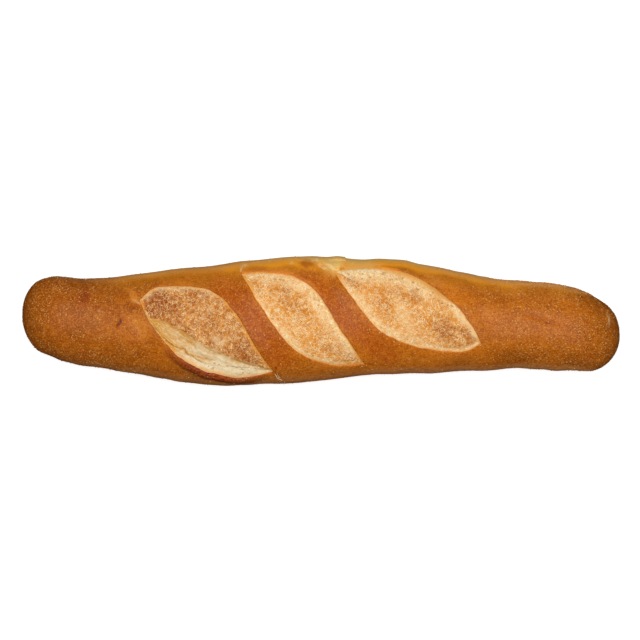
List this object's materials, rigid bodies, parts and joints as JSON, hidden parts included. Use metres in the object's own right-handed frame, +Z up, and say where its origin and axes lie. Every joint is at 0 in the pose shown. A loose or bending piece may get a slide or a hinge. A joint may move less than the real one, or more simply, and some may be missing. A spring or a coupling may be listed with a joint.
{
  "type": "bread loaf",
  "caption": "Short slashed white loaf with a smooth browned crust, rounded ends, a flat base and leaf-shaped openings along diagonal slashes.",
  "frame": {"origin": "middle of the flat base, under the middle of the loaf's box", "axes": "+Z up, +X along the loaf, +Y across it; the slashes run from -X +Y to +X -Y"},
  "size_m": [0.3, 0.0652, 0.0458],
  "materials": {
    "crust": "browned bread crust, satin, with fine pale specks; the slash openings are matte, mottled cream to tan"
  },
  "bodies": {
    "root": {"loaf": "crust"}
  },
  "joints": []
}
